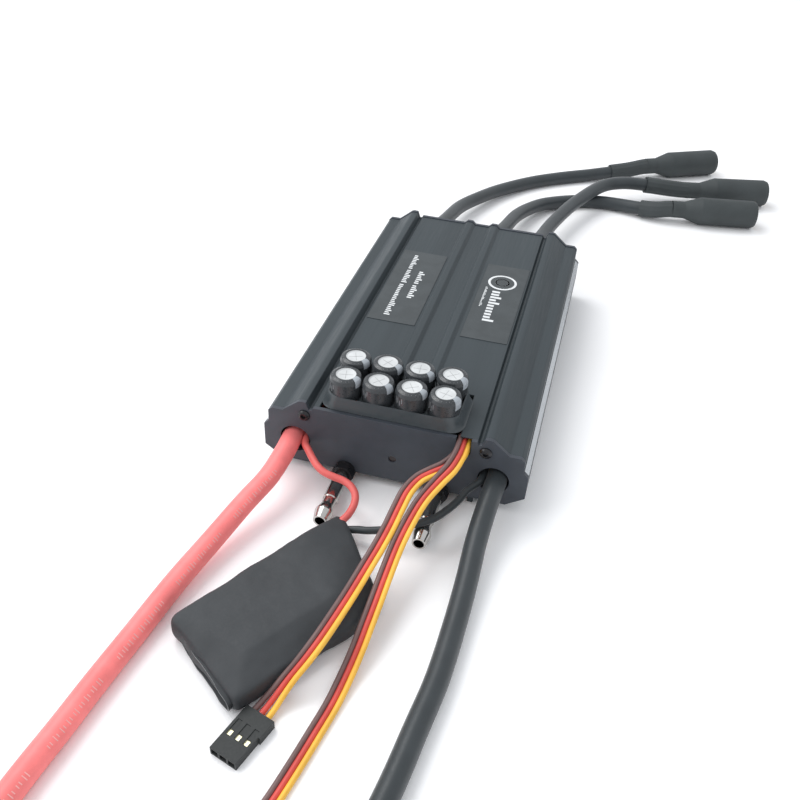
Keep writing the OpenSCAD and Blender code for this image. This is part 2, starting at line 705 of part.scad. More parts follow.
upper_shell();
lower_shell();
front_plate();
rear_plate();
front_plate_screws();
rear_plate_screws();
left_label();
right_label();
cooling_tube();
left_nozzle();
right_nozzle();
nozzle_nuts();
thermal_pad();
mosfets();
power_board();
board_screws();
positive_bus_bar();
negative_bus_bar();
phase_tabs();
board_spacers();
control_board();
board_header();
microcontroller();
gate_drivers();
regulator_coil();
status_led();
servo_terminal();
capacitor_board();
capacitor_1();
capacitor_2();
capacitor_3();
capacitor_4();
capacitor_5();
capacitor_6();
capacitor_7();
capacitor_8();
capacitor_sleeves();
capacitor_wrap();
positive_lead();
negative_lead();
lead_tips();
motor_lead_1();
motor_lead_2();
motor_lead_3();
motor_connector_1();
motor_connector_2();
motor_connector_3();
motor_boot_1();
motor_boot_2();
motor_boot_3();
thin_positive_wire();
thin_negative_wire();
pack_sleeve();
pack_board();
pack_capacitors();
servo_cable_1();
servo_cable_2();
servo_connector_1();
servo_connector_2();
servo_contacts();
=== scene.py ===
import json
import math
import random

import bmesh
import bpy
from mathutils import Matrix, Vector, noise

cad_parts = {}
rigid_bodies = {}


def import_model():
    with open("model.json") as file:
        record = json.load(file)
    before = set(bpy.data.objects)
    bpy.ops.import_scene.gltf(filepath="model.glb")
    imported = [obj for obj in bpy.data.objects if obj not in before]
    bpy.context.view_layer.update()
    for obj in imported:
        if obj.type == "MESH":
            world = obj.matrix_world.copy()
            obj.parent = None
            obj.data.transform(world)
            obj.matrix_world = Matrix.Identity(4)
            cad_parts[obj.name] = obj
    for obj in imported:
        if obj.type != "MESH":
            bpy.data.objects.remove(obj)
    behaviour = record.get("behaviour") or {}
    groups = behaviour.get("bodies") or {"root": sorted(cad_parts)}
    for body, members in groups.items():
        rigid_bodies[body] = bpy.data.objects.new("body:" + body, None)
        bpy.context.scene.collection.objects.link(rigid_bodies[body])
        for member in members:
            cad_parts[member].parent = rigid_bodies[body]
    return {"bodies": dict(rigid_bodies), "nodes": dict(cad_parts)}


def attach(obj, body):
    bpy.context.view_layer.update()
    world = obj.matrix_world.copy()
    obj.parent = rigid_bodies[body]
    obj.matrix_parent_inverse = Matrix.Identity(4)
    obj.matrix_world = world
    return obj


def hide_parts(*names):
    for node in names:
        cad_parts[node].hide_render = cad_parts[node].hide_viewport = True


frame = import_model()
CAD = frame["nodes"]
BODY = list(frame["bodies"])[0]
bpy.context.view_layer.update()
MM = 0.001
random.seed(7)


def mm(p):
    return Vector(p) * MM


# ---------------------------------------------------------------- camera

AZIMUTH, ELEVATION, ROLL = (math.radians(a) for a in (-13.34, 37.75, 3.13))
SPOT = Vector((0.0482, -0.2659, 0.1919))
ahead = Vector((math.sin(AZIMUTH) * math.cos(ELEVATION), math.cos(AZIMUTH) * math.cos(ELEVATION),
                -math.sin(ELEVATION)))
level = Vector((math.cos(AZIMUTH), -math.sin(AZIMUTH), 0))
upright = level.cross(ahead)
side = math.cos(ROLL) * level + math.sin(ROLL) * upright
top = math.cos(ROLL) * upright - math.sin(ROLL) * level
camera = bpy.data.objects.new("camera", bpy.data.cameras.new("camera"))
camera.data.sensor_width = 36
camera.data.lens = 39.8
camera.matrix_world = Matrix(((side.x, top.x, -ahead.x, SPOT.x), (side.y, top.y, -ahead.y, SPOT.y),
                              (side.z, top.z, -ahead.z, SPOT.z), (0, 0, 0, 1)))
bpy.context.collection.objects.link(camera)
bpy.context.scene.camera = camera


# ---------------------------------------------------------------- materials

def material(name, colour, rough, metal=0.0, grain=900.0, stretch=(1, 1, 1), bump=0.0,
             bump_size=0.00002, rough_range=0.08, gloss=0.5, sheen=0.0, fine=0.12):
    """A surface with slow colour drift, fine grain, uneven roughness and a little relief."""
    m = bpy.data.materials.new(name)
    m.use_nodes = True
    nt = m.node_tree
    n, link = nt.nodes, nt.links.new
    shader = n["Principled BSDF"]
    where = n.new("ShaderNodeTexCoord")
    place = n.new("ShaderNodeMapping")
    place.inputs["Scale"].default_value = stretch
    link(where.outputs["Object"], place.inputs["Vector"])

    def grain_noise(scale, detail):
        t = n.new("ShaderNodeTexNoise")
        t.inputs["Scale"].default_value = scale
        t.inputs["Detail"].default_value = detail
        t.inputs["Roughness"].default_value = 0.55
        link(place.outputs["Vector"], t.inputs["Vector"])
        return t.outputs["Fac"]

    slow, quick = grain_noise(grain * 0.06, 3), grain_noise(grain, 4)
    span = n.new("ShaderNodeMapRange")
    span.inputs["From Min"].default_value, span.inputs["From Max"].default_value = 0.35, 0.65
    link(slow, span.inputs["Value"])
    mix = n.new("ShaderNodeMix")
    mix.data_type = "RGBA"
    mix.inputs[6].default_value = (*colour, 1)
    mix.inputs[7].default_value = (*[c * 1.18 for c in colour], 1)
    link(span.outputs["Result"], mix.inputs["Factor"])
    speck = n.new("ShaderNodeMix")
    speck.data_type = "RGBA"
    speck.blend_type = "MULTIPLY"
    speck.inputs["Factor"].default_value = fine
    link(mix.outputs[2], speck.inputs[6])
    link(quick, speck.inputs[7])
    link(speck.outputs[2], shader.inputs["Base Color"])
    r = n.new("ShaderNodeMapRange")
    r.inputs["To Min"].default_value = max(0.02, rough - rough_range)
    r.inputs["To Max"].default_value = min(1.0, rough + rough_range)
    r.inputs["From Min"].default_value, r.inputs["From Max"].default_value = 0.3, 0.7
    link(quick, r.inputs["Value"])
    link(r.outputs["Result"], shader.inputs["Roughness"])
    shader.inputs["Metallic"].default_value = metal
    shader.inputs["Specular IOR Level"].default_value = gloss
    if sheen:
        shader.inputs["Sheen Weight"].default_value = sheen
        shader.inputs["Sheen Roughness"].default_value = 0.5
    if bump:
        b = n.new("ShaderNodeBump")
        b.inputs["Strength"].default_value = bump
        b.inputs["Distance"].default_value = bump_size
        link(quick, b.inputs["Height"])
        link(b.outputs["Normal"], shader.inputs["Normal"])
    return m


ANODISED = material("anodised", (0.040, 0.050, 0.056), 0.48, stretch=(1, 0.04, 1), grain=1600,
                    bump=0.25, gloss=0.25)
PLATE = material("anodised_plate", (0.047, 0.054, 0.066), 0.45, grain=2200, bump=0.2,
                 bump_size=0.00001, gloss=0.35)
BARE = material("bare_edge", (0.50, 0.52, 0.54), 0.3, 0.8, stretch=(1, 0.05, 1), grain=2500)
BLACK_STEEL = material("black_oxide", (0.018, 0.018, 0.02), 0.22, 0.3, grain=2500, bump=0.2)
STEEL = material("plated_steel", (0.50, 0.49, 0.47), 0.16, 1.0, grain=1800, rough_range=0.05)
CAN = material("plain_aluminium", (0.58, 0.595, 0.60), 0.5, 0.15, grain=2600, rough_range=0.07)
SCORE = material("scored_line", (0.36, 0.37, 0.37), 0.5, 0.15, grain=2600)
COPPER = material("copper", (0.62, 0.30, 0.17), 0.3, 1.0, grain=1200)
GOLD = material("gold_plate", (0.83, 0.60, 0.22), 0.22, 1.0, grain=1500)
CONTACT = material("contact_plate", (0.80, 0.76, 0.52), 0.35, 0.5, grain=1800)
FILM = material("label_film", (0.055, 0.063, 0.067), 0.5, grain=3000, bump=0.15, gloss=0.3)
PRINT = material("label_print", (0.70, 0.72, 0.73), 0.55, grain=3000)
BOARD = material("circuit_board", (0.012, 0.075, 0.035), 0.35, grain=1500)
BLACK = material("black_plastic", (0.028, 0.031, 0.031), 0.5, grain=2400, bump=0.2, gloss=0.3)
WHITE = material("white_plastic", (0.75, 0.75, 0.72), 0.5, grain=1500)
PAD = material("grey_silicone", (0.30, 0.34, 0.38), 0.7, grain=1200)
LENS = material("dark_lens", (0.02, 0.012, 0.012), 0.2, grain=1200)
SLEEVE = material("sleeve_film", (0.036, 0.040, 0.044), 0.3, grain=1500, rough_range=0.05)
# Painted highlight: light grey for the patch where each capacitor's rounded top shoulder catches the
# light
PAINTED_RIM_HIGHLIGHT = material("painted_rim_highlight", (0.33, 0.36, 0.39), 0.35, grain=1800)
MARK = material("sleeve_mark", (0.20, 0.21, 0.22), 0.4, grain=1800)
WRAP = material("wrap_film", (0.048, 0.058, 0.064), 0.36, grain=450, bump=0.4, bump_size=0.00015)
RUBBER = material("black_silicone", (0.030, 0.037, 0.041), 0.42, grain=2200, bump=0.2, sheen=0.1,
                  gloss=0.4)
RED = material("red_silicone", (0.92, 0.215, 0.21), 0.45, grain=2200, bump=0.2, gloss=0.4)
RED_THIN = material("red_wire", (0.66, 0.12, 0.11), 0.42, grain=2600, bump=0.15, gloss=0.4)
BROWN = material("brown_wire", (0.15, 0.085, 0.080), 0.45, grain=2600)
CORE_RED = material("red_core", (0.60, 0.065, 0.052), 0.45, grain=2600)
YELLOW = material("yellow_core", (0.86, 0.47, 0.055), 0.45, grain=2600)
BOOT = material("boot_sleeve", (0.046, 0.054, 0.056), 0.6, grain=1600, bump=0.35,
                bump_size=0.00005, fine=0.25, gloss=0.35)
LEAD_MARK = material("lead_mark", (0.85, 0.42, 0.40), 0.5, grain=1600)
SHRINK = material("shrink_sleeve", (0.042, 0.046, 0.050), 0.62, grain=1600, bump=0.35,
                  bump_size=0.00005, fine=0.25, gloss=0.35)
# Painted highlight: lighter grey for the thin line where the pouch sleeve's cut end catches the light
PAINTED_LIP_HIGHLIGHT = material("painted_lip_highlight", (0.16, 0.17, 0.175), 0.55, grain=1600, bump=0.3)
DIPPED = material("dipped_capacitor", (0.3, 0.18, 0.05), 0.35, grain=1200)
TINNED = material("tinned_strands", (0.66, 0.66, 0.64), 0.35, 0.95, grain=2000)


def dress(obj, *mats):
    obj.data.materials.clear()
    for m in mats:
        obj.data.materials.append(m)
    return obj


def piece(name, mesh, mats, nodes=()):
    """A new piece of the object that stands for the named CAD nodes."""
    o = bpy.data.objects.new(name, mesh)
    bpy.context.collection.objects.link(o)
    dress(o, *mats)
    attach(o, BODY)
    if nodes:
        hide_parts(*nodes)
    return o


def smooth_faces(mesh, angle=35):
    mesh.shade_smooth()
    mesh.set_sharp_from_angle(angle=math.radians(angle))


# ---------------------------------------------------------------- cords

def smooth_line(points, steps):
    """The smooth line through the points, with that many steps between neighbours."""
    p = [Vector(q) for q in points]
    out = []
    for i in range(len(p) - 1):
        a, b, c, d = p[max(i - 1, 0)], p[i], p[i + 1], p[min(i + 2, len(p) - 1)]
        for k in range(steps):
            t = k / steps
            out.append(0.5 * (2 * b + (c - a) * t + (2 * a - 5 * b + 4 * c - d) * t * t
                              + (3 * b - a - 3 * c + d) * t ** 3))
    return out + [p[-1]]


def round_cord(name, points, d, mat, node, steps=8):
    line = smooth_line(points, steps)
    c = bpy.data.curves.new(name, "CURVE")
    c.dimensions = "3D"
    c.bevel_depth = d / 2 * MM
    c.bevel_resolution = 6
    c.use_fill_caps = True
    s = c.splines.new("POLY")
    s.points.add(len(line) - 1)
    for q, v in zip(s.points, line):
        q.co = (*(v * MM), 1)
    s.use_smooth = True
    o = bpy.data.objects.new(name, c)
    bpy.context.collection.objects.link(o)
    c.materials.append(mat)
    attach(o, BODY)
    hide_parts(node)
    return o


def frames(line):
    """Along the line: its heading, the level way across it, and the way up."""
    out = []
    for i in range(len(line)):
        t = (line[min(i + 1, len(line) - 1)] - line[max(i - 1, 0)]).normalized()
        s = t.cross(Vector((0, 0, 1))).normalized()
        out.append((t, s, s.cross(t)))
    return out


POSITIVE = [(-32.4, -51, 12), (-32.4, -60, 12), (-32.4, -69, 12), (-32.4, -76, 11.6),
            (-33.6, -86, 10), (-37, -96.5, 7.9), (-40.9, -110.9, 5.4), (-44.3, -126, 4),
            (-46.8, -143, 3.2), (-48.8, -159.5, 3.2), (-50.2, -173, 3.2), (-51.8, -186.5, 3.2),
            (-52.8, -200, 3.2), (-52.4, -214, 3.2), (-50, -228, 3.2), (-45.5, -240, 3.2)]
NEGATIVE = [(32.4, -51, 12), (32.4, -60, 12), (32.4, -69, 12), (31.7, -77, 10.9), (31, -90, 7.4),
            (31.2, -103, 5), (31.1, -118, 3.6), (30.5, -135, 3.2), (28.8, -150, 3.2),
            (27.2, -164, 3.2), (25, -178, 3.2), (22.3, -192, 3.2), (18.8, -206, 3.2),
            (14.3, -219, 3.2), (8.5, -231, 3.2), (1.5, -242, 3.2)]
THIN_POSITIVE = [(-28, -51, 12), (-28, -60, 12), (-28, -69, 12), (-25.5, -73, 11.8),
                 (-21.6, -77.3, 11), (-18.4, -79.2, 10.3), (-15, -79.8, 9.8), (-12, -80, 9.3),
                 (-9.2, -81.2, 8.8), (-7.2, -83.5, 8.2), (-6.5, -86.5, 7.3), (-7.1, -90, 6.2),
                 (-8.8, -93.4, 5.3), (-10.4, -98.1, 4.9), (-11.5, -103.3, 4.7),
                 (-12, -108.3, 4.7)]
THIN_NEGATIVE = [(28, -51, 12), (28, -60, 12), (28, -69, 12), (26.8, -71.5, 11.5),
                 (24.6, -74, 10.5), (23, -77.5, 9.3), (20.3, -82.4, 8.7), (16.8, -86.6, 8),
                 (11, -89.8, 6.9), (5, -92.2, 5.8), (0, -93.4, 5), (-3.6, -93.6, 4.4),
                 (-6.8, -94.6, 3.9), (-8.1, -99.2, 4.5), (-9, -104.2, 4.7), (-9.5, -109.8, 4.7)]
# The servo cables' points end with the cable's roll in degrees and the way between its cores
SERVO_1 = [(21.3, -42, 20.8, 0, 1.5), (21.3, -56, 20.9, 0, 1.5), (21.3, -69, 21.8, 28, 1.5),
           (20.3, -73, 21.3, 26, 1.5), (17.8, -76.8, 20.6, 16, 1.45),
           (14.3, -79.7, 19.8, 6, 1.45), (11.4, -82.6, 18.9, 0, 1.45),
           (9.3, -87.2, 17.6, 0, 1.45), (8.3, -92.8, 15.9, 0, 1.45), (7.5, -98.5, 14.2, 0, 1.45),
           (6.3, -105, 12.4, 0, 1.45), (4.9, -112, 11.1, 0, 1.45), (3.6, -120, 10.5, 0, 1.45),
           (2.4, -127.5, 10.5, 0, 1.45), (0.7, -136.5, 10.3, 0, 1.45),
           (-1.4, -142.6, 8.6, 0, 1.45), (-3.8, -146.6, 5.8, 0, 1.5), (-5.6, -149.8, 3.4, 0, 1.7),
           (-6.9, -152.6, 1.9, 0, 1.95), (-8, -155.8, 1.4, 0, 2.1)]
SERVO_2 = [(21.3, -42, 22.5, 0, 1.5), (21.3, -56, 22.6, 0, 1.5), (21.3, -69, 23.5, 29, 1.5),
           (21, -73.6, 23, 29, 1.5), (19.8, -78.2, 21.7, 22, 1.5), (17.4, -82.6, 19.9, 8, 1.45),
           (14.3, -88.6, 17.2, 0, 1.45), (12.5, -95, 15, 0, 1.45), (11.1, -103, 12.5, 0, 1.45),
           (10.4, -112.5, 10, 0, 1.45), (10.1, -120, 8.4, 0, 1.45), (9.7, -126.5, 6.6, 0, 1.45),
           (9.2, -133, 4.4, 0, 1.45), (8.4, -140, 2.3, 0, 1.45), (7.4, -148, 1.1, 0, 1.45),
           (6, -156, 0.9, 0, 1.45), (4.4, -165, 0.9, 0, 1.45), (2.6, -174, 0.9, 0, 1.45),
           (0.6, -182.5, 1.1, 0, 1.6), (-1.2, -190, 1.3, 0, 2.1)]
MOTOR = [
    [(-22.5, 62, 12), (-22.5, 69, 12), (-23.2, 80, 11.4), (-23.2, 91, 10), (-22, 103, 8.5),
     (-19.3, 122, 6.6), (-13, 139, 5), (-5, 154.2, 3.8), (7.8, 170.2, 3.1), (21.6, 181.5, 3.1),
     (36, 190.8, 3.3), (46.5, 196, 4.3), (55.5, 200.2, 5.4)],
    [(0, 62, 12), (0, 69, 12), (1.2, 80, 11.4), (3, 91, 10), (5.2, 103.5, 8.5), (7.7, 120.5, 6.8),
     (12.3, 135, 5), (19, 146, 3.8), (31.5, 155.4, 3.1), (44.5, 159, 3.2), (54.5, 158.8, 3.5),
     (64.5, 156.8, 4.3), (71.5, 155.6, 5.2)],
    [(22.5, 62, 12), (22.5, 69, 12), (22, 80, 11.6), (22.2, 91, 10.6), (23.4, 102, 9.6),
     (26.4, 117.5, 9.2), (32.8, 139.2, 9.2), (43, 161.6, 9.7), (53, 171, 9.7), (65, 176, 8.6),
     (77, 179.4, 7.2)]]
TIPS = [((99, 225, 6.5), 29), ((118.4, 164, 6.5), 11), ((124.7, 192.3, 6.5), 15)]

lead_p = round_cord("lead_positive", POSITIVE, 6.4, RED, "positive_lead")
lead_n = round_cord("lead_negative", NEGATIVE, 6.4, RUBBER, "negative_lead")
thin_p = round_cord("wire_positive", THIN_POSITIVE, 2.3, RED_THIN,
                    "thin_positive_wire", steps=6)
thin_n = round_cord("wire_negative", THIN_NEGATIVE, 2.3, RUBBER,
                    "thin_negative_wire", steps=6)


def ribbon(name, points, node, core=1.5, steps=6, sides=12):
    """Three cores side by side along the line: brown, red and yellow from left to right."""
    line = smooth_line([p[:3] for p in points], steps)
    extra = smooth_line([(*p[3:], 0) for p in points], steps)
    verts, faces, picks = [], [], []
    for j in range(3):
        start = len(verts)
        for v, (t, s, u), (roll, pitch, _) in zip(line, frames(line), extra):
            a = math.radians(roll)
            s, u = s * math.cos(a) + u * math.sin(a), u * math.cos(a) - s * math.sin(a)
            for k in range(sides):
                a = 2 * math.pi * (k + 0.5) / sides
                q = v + s * ((1 - j) * pitch) + (s * math.cos(a) + u * math.sin(a)) * core / 2
                verts.append(q * MM)
        for i in range(len(line) - 1):
            for k in range(sides):
                b, c = start + i * sides, start + (i + 1) * sides
                k2 = (k + 1) % sides
                faces.append((b + k, b + k2, c + k2, c + k))
                picks.append(j)
        faces.append(tuple(start + k for k in reversed(range(sides))))
        faces.append(tuple(start + (len(line) - 1) * sides + k for k in range(sides)))
        picks += [j, j]
    me = bpy.data.meshes.new(name)
    me.from_pydata(verts, [], faces)
    o = piece(name, me, (BROWN, CORE_RED, YELLOW), [node])
    me.polygons.foreach_set("material_index", picks)
    smooth_faces(me, 50)
    return o, line


servo_1, line_1 = ribbon("ribbon_1", SERVO_1, "servo_cable_1")
servo_2, line_2 = ribbon("ribbon_2", SERVO_2, "servo_cable_2")


# ---------------------------------------------------------------- CAD pieces with softened edges

def softened(name, node, width, mats):
    me = CAD[node].data.copy()
    bm = bmesh.new()
    bm.from_mesh(me)
    bmesh.ops.remove_doubles(bm, verts=bm.verts, dist=1e-6)
    bmesh.ops.dissolve_limit(bm, angle_limit=math.radians(1), verts=bm.verts, edges=bm.edges)
    bm.to_mesh(me)
    bm.free()
    o = piece(name, me, mats, [node])
    b = o.modifiers.new("edges", "BEVEL")
    b.width = width * MM
    b.segments = 2
    b.limit_method = "ANGLE"
    b.angle_limit = math.radians(32)
    b.use_clamp_overlap = True
    b.harden_normals = False
    me.shade_smooth()
    w = o.modifiers.new("normals", "WEIGHTED_NORMAL")
    w.keep_sharp = True
    return o


softened("case_top", "upper_shell", 0.25, [ANODISED])
bottom = softened("case_bottom", "lower_shell", 0.2, [ANODISED, BARE])
for face in bottom.data.polygons:
    if abs(face.center.x) > 0.040 and 0.0155 < face.center.z < 0.0171 and abs(face.normal.y) < 0.5:
        face.material_index = 1
softened("plate_front", "front_plate", 0.12, [PLATE])
softened("plate_rear", "rear_plate", 0.12, [PLATE])
softened("nuts", "nozzle_nuts", 0.2, [BLACK_STEEL])
softened("label_left", "left_label", 0.05, [FILM])
softened("label_right", "right_label", 0.05, [FILM])
softened("plug_1", "servo_connector_1", 0.12, [BLACK])
softened("plug_2", "servo_connector_2", 0.12, [BLACK])


def strip(bm, centre, profile, from_deg, to_deg, steps, out=0.05):
    """A thin solid strip of a turned profile [radius, height] about an upright axis, in mm."""
    rings = []
    for k in range(steps + 1):
        a = math.radians(from_deg + (to_deg - from_deg) * k / steps)
        way = Vector((math.cos(a), math.sin(a), 0))
        ring = []
        for grow in (out, -out):
            row = profile if grow > 0 else profile[::-1]
            ring += [bm.verts.new((Vector(centre) + way * (r + grow)
                                   + Vector((0, 0, z + grow))) * MM) for r, z in row]
        rings.append(ring)
    for a, b in zip(rings, rings[1:]):
        for k in range(len(a)):
            bm.faces.new((a[k], b[k], b[(k + 1) % len(a)], a[(k + 1) % len(a)]))
    bm.faces.new(rings[0])
    bm.faces.new(rings[-1][::-1])


def slab(bm, x, y, z, turn=0.0, about=(0, 0)):
    """A thin upright-sided box over the ranges x, y and z in mm, turned about a point."""
    c, n = math.cos(math.radians(turn)), math.sin(math.radians(turn))
    q = [bm.verts.new(Vector((about[0] + px * c - py * n, about[1] + px * n + py * c, pz)) * MM)
         for pz in z for px, py in ((x[0], y[0]), (x[1], y[0]), (x[1], y[1]), (x[0], y[1]))]
    for f in ((3, 2, 1, 0), (4, 5, 6, 7), (0, 1, 5, 4), (1, 2, 6, 5), (2, 3, 7, 6), (3, 0, 4, 7)):
        bm.faces.new([q[k] for k in f])


def made(name, build, mats, nodes=()):
    bm = bmesh.new()
    build(bm)
    bmesh.ops.recalc_face_normals(bm, faces=bm.faces)
    me = bpy.data.meshes.new(name)
    bm.to_mesh(me)
    bm.free()
    return piece(name, me, mats, nodes)


CAP_SPOTS = [(-17 + 10.2 * c, -62.45 + 9.9 * r) for r in (0, 1) for c in range(4)]
RIM = [(3.15, 35.85), (3.6, 35.85), (4.05, 35.7), (4.5, 35.4), (4.78, 34.9), (4.9, 34.3)]


# Painted highlight on every capacitor: a light patch over the rounded top shoulder and a little down
# the side, facing about the same way on each can
def painted_rim_highlights(bm):
    for i, (x, y) in enumerate(CAP_SPOTS):
        mid = -24 + (3, -4, 5, 0, -3, 4, -2, 2)[i]
        low = (33.2, 33.6, 33.7, 32.4, 33.6, 33.5, 33.4, 32.8)[i]
        strip(bm, (x, y, 0), RIM + [(4.9, low)], mid - 16, mid + 16, 8)


def scores(bm):
    for i, (x, y) in enumerate(CAP_SPOTS):
        turn = (12, 48, 30, 75, 20, 60, 5, 40)[i]
        for k in (0, 90):
            slab(bm, (-2.1, 2.1), (-0.07, 0.07), (35.48, 35.53), turn + k, (x, y))


def marks(bm):
    for i, (x, y) in enumerate(CAP_SPOTS):
        for k, (low, high) in enumerate(((31.2, 33.9), (31.8, 33.9), (31.2, 33), (32.2, 33.9))):
            a = -150 + 5 * (i % 3) + 9 * k
            strip(bm, (x, y, 0), [(4.9, high), (4.9, low)], a - 1.6, a + 1.6, 2, 0.02)
        for k in range(22):
            a = 20 + 15.5 * k + random.uniform(-2, 2)
            strip(bm, (x, y, 0), [(4.0, 35.72), (4.15, 35.64)], a - 1.2, a + 1.2, 1, 0.02)


# the capacitors' painted shoulder highlights
made("cap_painted_rim_highlights", painted_rim_highlights, [PAINTED_RIM_HIGHLIGHT])
made("cap_scores", scores, [SCORE])
made("cap_marks", marks, [MARK])


def strokes(bm, x, tall, spans, pitch, wide):
    """Rows of plain upright strokes along Y that stand in for a printed line."""
    for a, b in spans:
        for k in range(int((a - b) / pitch) + 1):
            h = tall * random.choice((0.6, 0.72, 1.0))
            y = a - k * pitch
            slab(bm, (x, x + h), (y - wide, y), (25.59, 25.62))


def print_bars(bm):
    strokes(bm, -19.9, 2.1, ((33.8, 23.6), (21.8, 12.6), (10.8, -11)), 1.25, 0.7)
    strokes(bm, -15.1, 2.3, ((22, 13.6), (11.4, 2.4)), 1.4, 0.8)
    strokes(bm, 13.8, 4, ((17.4, -3.6),), 2, 1.25)
    strokes(bm, 10.9, 0.9, ((19.4, 5.4),), 0.85, 0.45)
    for r, wide in ((4.9, 0.9), (2.4, 0.5)):
        for k in range(48):
            slab(bm, (r - wide / 2, r + wide / 2), (-0.34, 0.34), (25.59, 25.62), 7.5 * k,
                 (16.3, 24.2))


made("label_print", print_bars, [PRINT])


def wrap_outline(half_x, half_y, r, n=10):
    out = []
    for cx, cy, a0 in ((1, 1, 0), (-1, 1, 90), (-1, -1, 180), (1, -1, 270)):
        for k in range(n + 1):
            a = math.radians(a0 + 90 * k / n)
            out.append((-1.8 + cx * (half_x - r) + r * math.cos(a),
                        -57.5 + cy * (half_y - r) + r * math.sin(a)))
    return out


def wrap_film(bm):
    """The band round the capacitors: flared at the bottom, drawn in at the top, and wavy."""
    rings = []
    for z, hx, hy in ((25.55, 22.3, 10.2), (26.1, 21.6, 10.1), (28, 21, 10.05), (29.6, 20.6, 10),
                      (30.3, 20.4, 9.9), (30.3, 20.2, 9.7), (28.6, 20.1, 9.6)):
        rings.append([bm.verts.new(Vector((x, y, z + 0.25 * math.sin(x * 0.9) * (z > 29))) * MM)
                      for x, y in wrap_outline(hx, hy, 4.7)])
    for a, b in zip(rings, rings[1:]):
        for k in range(len(a)):
            bm.faces.new((a[k], a[(k + 1) % len(a)], b[(k + 1) % len(a)], b[k]))
    bm.faces.new(rings[0][::-1])
    bm.faces.new(rings[-1])


smooth_faces(made("wrap_band", wrap_film, [WRAP], ["capacitor_wrap"]).data, 40)


def lead_marks(bm):
    """Small raised strokes along the red lead, in groups."""
    line = smooth_line(POSITIVE, 24)
    way = 0.0
    due = 34.0
    count = 0
    for i in range(1, len(line) - 1):
        way += (line[i] - line[i - 1]).length
        if way < due:
            continue
        count += 1
        due += 2.3 if count % 9 else 7.5
        t = (line[i + 1] - line[i - 1]).normalized()
        s = t.cross(Vector((0, 0, 1))).normalized()
        u = s.cross(t)
        a = math.radians(42)
        normal, across = u * math.cos(a) - s * math.sin(a), s * math.cos(a) + u * math.sin(a)
        for dt in (-0.55, 0.35):
            c = line[i] + normal * 3.2 + t * dt
            half = random.choice((0.5, 0.8))
            q = [bm.verts.new((c + t * x + across * y + normal * z) * MM)
                 for z in (-0.1, 0.03) for x, y in ((0, -half), (0.22, -half), (0.22, half), (0, half))]
            for f in ((3, 2, 1, 0), (4, 5, 6, 7), (0, 1, 5, 4), (1, 2, 6, 5), (2, 3, 7, 6),
                      (3, 0, 4, 7)):
                bm.faces.new([q[k] for k in f])


marks_on_lead = made("lead_marks", lead_marks, [LEAD_MARK])


def ball(centre, r, squash=4.5):
    """Points of a ball that is a little boxy, so that a skin over several lies flat on top."""
    out = []
    for i in range(1, 12):
        for k in range(24):
            a, b = math.pi * i / 12, 2 * math.pi * k / 24
            d = Vector((math.sin(a) * math.cos(b), math.sin(a) * math.sin(b), math.cos(a)))
            n = (abs(d.x) ** squash + abs(d.y) ** squash + abs(d.z) ** squash) ** (1 / squash)
            out.append(Vector(centre) + d * (r / n))
    return out


def pack_skin():
    """The pack's soft pouch: a skin over balls at its corners, relaxed and slightly wavy."""
    balls = (((-12.9, -18, 4.3), 4.2), ((10.4, -20.2, 3.4), 3.3), ((12.4, 12, 3.3), 3.2),
             ((9.4, 21.4, 3.5), 3.3), ((-12.9, 20, 4.4), 4.2), ((-15.2, 33.6, 4.4), 1.9),
             ((-13.9, 33.6, 4.7), 1.9), ((3, -12, 4.6), 4.6), ((4, 12, 4.6), 4.6))
    bm = bmesh.new()
    for c, r in balls:
        for q in ball(c, r):
            bm.verts.new(q * MM)
    bmesh.ops.convex_hull(bm, input=bm.verts)
    loose = [v for v in bm.verts if not v.link_faces]
    bmesh.ops.delete(bm, geom=loose, context="VERTS")
    rough = bpy.data.meshes.new("pouch_form")
    bm.to_mesh(rough)
    bm.free()
    form = bpy.data.objects.new("pouch_form", rough)
    bpy.context.collection.objects.link(form)
    grid = form.modifiers.new("grid", "REMESH")
    grid.mode = "VOXEL"
    grid.voxel_size = 0.75 * MM
    relax = form.modifiers.new("relax", "SMOOTH")
    relax.iterations = 2
    seen = form.evaluated_get(bpy.context.evaluated_depsgraph_get())
    me = bpy.data.meshes.new_from_object(seen)
    bpy.data.objects.remove(form)
    me.name = "pouch"
    for v, n in [(v, v.normal.copy()) for v in me.vertices]:
        q = v.co / MM
        wave = noise.noise(q * 0.11) * 0.35 + noise.noise(q * 0.35) * 0.1
        near_end = max(0.0, 1 - abs(q.y + 21) / 6)
        dent = math.exp(-((q.x - 16) ** 2 + (q.y - 3) ** 2) / 20)
        v.co += n * MM * (wave - 0.5 * dent - 0.3 * near_end * (0.5 + 0.5 * math.cos(q.x * 0.6)))
        v.co.z = max(v.co.z, 0.05 * MM)
    me.shade_smooth()
    o = piece("pouch", me, [SHRINK], ["pack_sleeve"])
    o.matrix_world = in_pack
    return o


def pouch_rim(bm):
    """The cut end of the pouch's sleeve: a flattened ring at the pack's far end."""
    n, rings = 64, []
    for y, size, thick in ((-20.2, 0.93, 0.9), (-21.8, 1.0, 0.55), (-23.1, 1.02, 0.4)):
        for inner in (0, 1):
            ring = []
            for k in range(n):
                a = 2 * math.pi * k / n
                c, w = math.cos(a), math.sin(a)
                x = (13.6 * size - inner * thick) * math.copysign(abs(c) ** 0.75, c)
                z = (2.6 * size - inner * thick) * math.copysign(abs(w) ** 0.6, w)
                wave = 0.12 * math.sin(x * 0.45) + 0.06 * math.sin(x * 1.1 + 1)
                ring.append(bm.verts.new(Vector((x - 1.2, y - 0.115 * x + wave * (y < -21),
                                                 3.3 + z + 0.25 * wave)) * MM))
            rings.append(ring)
    order = [rings[0], rings[2], rings[4], rings[5], rings[3], rings[1]]
    for a, b in zip(order, order[1:] + order[:1]):
        for k in range(n):
            bm.faces.new((a[k], a[(k + 1) % n], b[(k + 1) % n], b[k]))


